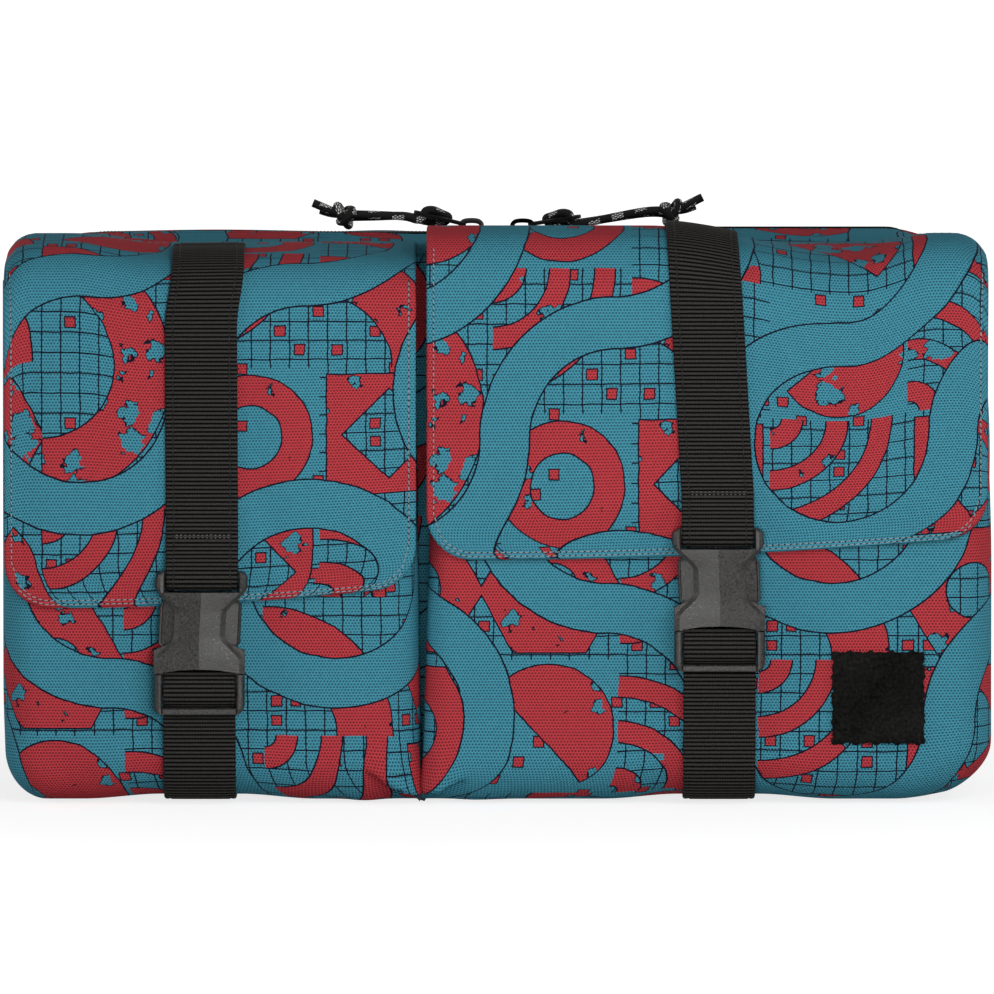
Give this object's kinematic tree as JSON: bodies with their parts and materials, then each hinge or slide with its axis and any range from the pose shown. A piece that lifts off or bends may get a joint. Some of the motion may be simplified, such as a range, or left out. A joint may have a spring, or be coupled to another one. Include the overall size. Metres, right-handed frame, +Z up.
{
  "type": "shoulder bag",
  "caption": "Zipped shoulder bag with buckled flap pockets side by side on its front, webbing straps, corded zip pulls and strap rings on its back.",
  "frame": {"origin": "on the floor under the main compartment, in the middle of the bag's width", "axes": "+X to the viewer's right along the bag's width, +Y from front to back, +Z up"},
  "size_m": [0.3436, 0.1393, 0.2078],
  "materials": {
    "printed_fabric": "woven polyester with an all-over geometric print",
    "webbing": "ribbed black webbing",
    "zip_tape": "black woven tape",
    "zip_coil": "black nylon coil",
    "black_metal": "satin black paint",
    "cord": "black braided cord with white flecks",
    "buckle_plastic": "grained black acetal",
    "patch": "black loop pile"
  },
  "bodies": {
    "bag": {"main_front_panel": "printed_fabric", "back_panel": "printed_fabric", "bottom_panel": "printed_fabric", "left_side_panel": "printed_fabric", "right_side_panel": "printed_fabric", "top_front_strip": "printed_fabric", "top_back_strip": "printed_fabric", "zip_front_tape": "zip_tape", "zip_back_tape": "zip_tape", "zip_front_coil": "zip_coil", "zip_back_coil": "zip_coil", "left_pocket": "printed_fabric", "right_pocket": "printed_fabric", "left_flap": "printed_fabric", "right_flap": "printed_fabric", "left_flap_strap": "webbing", "right_flap_strap": "webbing", "left_lower_strap": "webbing", "right_lower_strap": "webbing", "left_buckle_socket": "buckle_plastic", "right_buckle_socket": "buckle_plastic", "hook_and_loop_patch": "patch", "left_ring_tab": "webbing", "right_ring_tab": "webbing"},
    "left_slider": {"left_zip_slider": "black_metal"},
    "right_slider": {"right_zip_slider": "black_metal"},
    "left_pull": {"left_pull_tab": "black_metal", "left_pull_cord": "cord", "left_pull_knot": "cord"},
    "right_pull": {"right_pull_tab": "black_metal", "right_pull_cord": "cord", "right_pull_knot": "cord"},
    "left_plug": {"left_buckle_plug": "buckle_plastic"},
    "right_plug": {"right_buckle_plug": "buckle_plastic"},
    "left_ring": {"left_strap_ring": "black_metal"},
    "right_ring": {"right_strap_ring": "black_metal"}
  },
  "joints": [
    {"name": "left_zip_slide", "type": "slide", "parent": "bag", "child": "left_slider", "axis": [-1, 0, 0], "range_m": [0, 0.12]},
    {"name": "right_zip_slide", "type": "slide", "parent": "bag", "child": "right_slider", "axis": [1, 0, 0], "range_m": [0, 0.12]},
    {"name": "left_pull_swing", "type": "hinge", "parent": "left_slider", "child": "left_pull", "pos_m": [-0.0115, 0.02, 0.19695], "axis": [0, 1, 0], "range_deg": [0, 80]},
    {"name": "right_pull_swing", "type": "hinge", "parent": "right_slider", "child": "right_pull", "pos_m": [0.0115, 0.02, 0.19695], "axis": [0, -1, 0], "range_deg": [0, 80]},
    {"name": "left_buckle_release", "type": "slide", "parent": "bag", "child": "left_plug", "axis": [0, 0, -1], "range_m": [0, 0.0265], "deforming": ["left_lower_strap"]},
    {"name": "right_buckle_release", "type": "slide", "parent": "bag", "child": "right_plug", "axis": [0, 0, -1], "range_m": [0, 0.0265], "deforming": ["right_lower_strap"]},
    {"name": "left_ring_swing", "type": "hinge", "parent": "bag", "child": "left_ring", "pos_m": [-0.125, 0.06734, 0.152], "axis": [1, 0, 0], "range_deg": [0, 120]},
    {"name": "right_ring_swing", "type": "hinge", "parent": "bag", "child": "right_ring", "pos_m": [0.125, 0.06734, 0.152], "axis": [1, 0, 0], "range_deg": [0, 120]}
  ]
}
